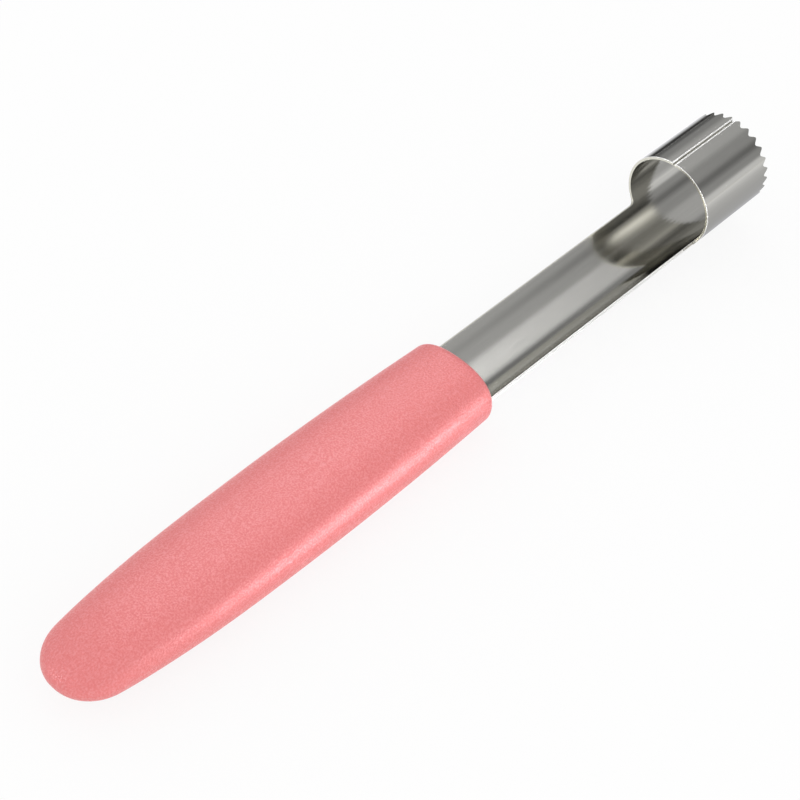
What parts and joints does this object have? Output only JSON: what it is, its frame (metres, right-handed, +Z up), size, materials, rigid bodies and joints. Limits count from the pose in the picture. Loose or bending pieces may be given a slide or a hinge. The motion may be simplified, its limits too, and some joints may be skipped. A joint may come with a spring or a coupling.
{
  "type": "apple corer",
  "caption": "Hand apple corer: a rolled steel sheet forms a toothed cutter tube with an open top seam and a long open trough, held in a flat-oval moulded plastic handle.",
  "frame": {"origin": "middle of the part's bounding box in X and Y, at its lowest point, which is the underside of the handle", "axes": "+X runs along the tool from the handle's rear end to the cutting teeth, +Z points up out of the open trough towards the tube's seam, and the part is symmetric about the XZ plane but for one tooth cut short at the seam"},
  "size_m": [0.1878, 0.0226, 0.0234],
  "materials": {
    "steel": "polished rolled stainless sheet",
    "plastic": "fine spark-eroded moulded texture, salmon pink"
  },
  "bodies": {
    "root": {"blade": "steel", "handle": "plastic"}
  },
  "joints": []
}
